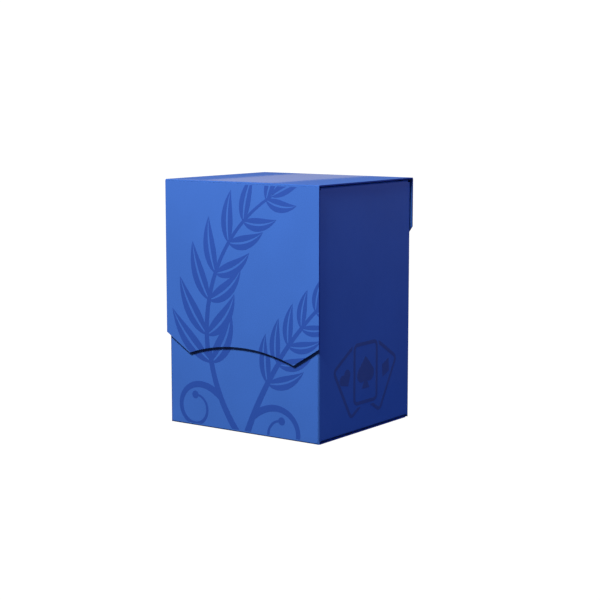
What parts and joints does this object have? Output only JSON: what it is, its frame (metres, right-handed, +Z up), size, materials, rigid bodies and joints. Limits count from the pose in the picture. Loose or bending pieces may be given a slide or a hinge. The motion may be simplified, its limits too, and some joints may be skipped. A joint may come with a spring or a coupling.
{
  "type": "card deck box",
  "caption": "Folded plastic deck box for sleeved cards: a strap lid hinged at the top back with a long shaped front flap, side dust flaps and a loose divider.",
  "frame": {"origin": "bottom centre of the whole closed box, on the surface that it stands on", "axes": "+Z up, +X to the right seen from the front, -Y towards the front flap"},
  "size_m": [0.0742, 0.0662, 0.098],
  "materials": {
    "body_sheet": "satin blue polypropylene sheet with a fine grain, tone-on-tone printed on the front",
    "lid_sheet": "satin blue polypropylene sheet with a fine grain, tone-on-tone printed on the front flap",
    "divider_sheet": "satin blue polypropylene sheet, unprinted"
  },
  "bodies": {
    "box_body": {"front_panel": "body_sheet", "back_panel": "body_sheet", "left_side_panel": "body_sheet", "right_side_panel": "body_sheet", "front_left_crease": "body_sheet", "front_right_crease": "body_sheet", "back_right_crease": "body_sheet", "seam_crease": "body_sheet", "seam_glue_flap": "body_sheet", "bottom_panel": "body_sheet", "bottom_front_crease": "body_sheet", "bottom_rear_crease": "body_sheet", "bottom_glue_flap": "body_sheet", "bottom_dust_flap_left": "body_sheet", "bottom_dust_flap_right": "body_sheet", "bottom_crease_left": "body_sheet", "bottom_crease_right": "body_sheet", "top_crease_left": "body_sheet", "top_crease_right": "body_sheet", "lid_back_panel": "lid_sheet", "lid_back_crease": "lid_sheet"},
    "lid_top": {"lid_top_panel": "lid_sheet", "lid_front_crease": "lid_sheet"},
    "lid_flap": {"lid_front_flap": "lid_sheet"},
    "dust_flap_left": {"top_dust_flap_left": "body_sheet"},
    "dust_flap_right": {"top_dust_flap_right": "body_sheet"},
    "divider": {"card_divider": "divider_sheet"}
  },
  "joints": [
    {"name": "lid_hinge", "type": "hinge", "parent": "box_body", "child": "lid_top", "pos_m": [0, 0.03305, 0.098], "axis": [-1, 0, 0], "range_deg": [0, 200], "deforming": ["lid_back_crease"]},
    {"name": "flap_hinge", "type": "hinge", "parent": "lid_top", "child": "lid_flap", "pos_m": [0, -0.03305, 0.098], "axis": [-1, 0, 0], "range_deg": [0, 100], "deforming": ["lid_front_crease"]},
    {"name": "dust_hinge_left", "type": "hinge", "parent": "box_body", "child": "dust_flap_left", "pos_m": [-0.03645, 0, 0.0971], "axis": [0, -1, 0], "range_deg": [0, 100], "deforming": ["top_crease_left"]},
    {"name": "dust_hinge_right", "type": "hinge", "parent": "box_body", "child": "dust_flap_right", "pos_m": [0.03645, 0, 0.0971], "axis": [0, 1, 0], "range_deg": [0, 100], "deforming": ["top_crease_right"]},
    {"name": "divider_slide", "type": "slide", "parent": "box_body", "child": "divider", "axis": [0, 1, 0], "range_m": [-0.0448, 0.0156]}
  ],
  "couplings": [
    {"joint": "dust_hinge_left", "follows": "lid_hinge", "ratio": 0.5},
    {"joint": "dust_hinge_right", "follows": "lid_hinge", "ratio": 0.5}
  ]
}
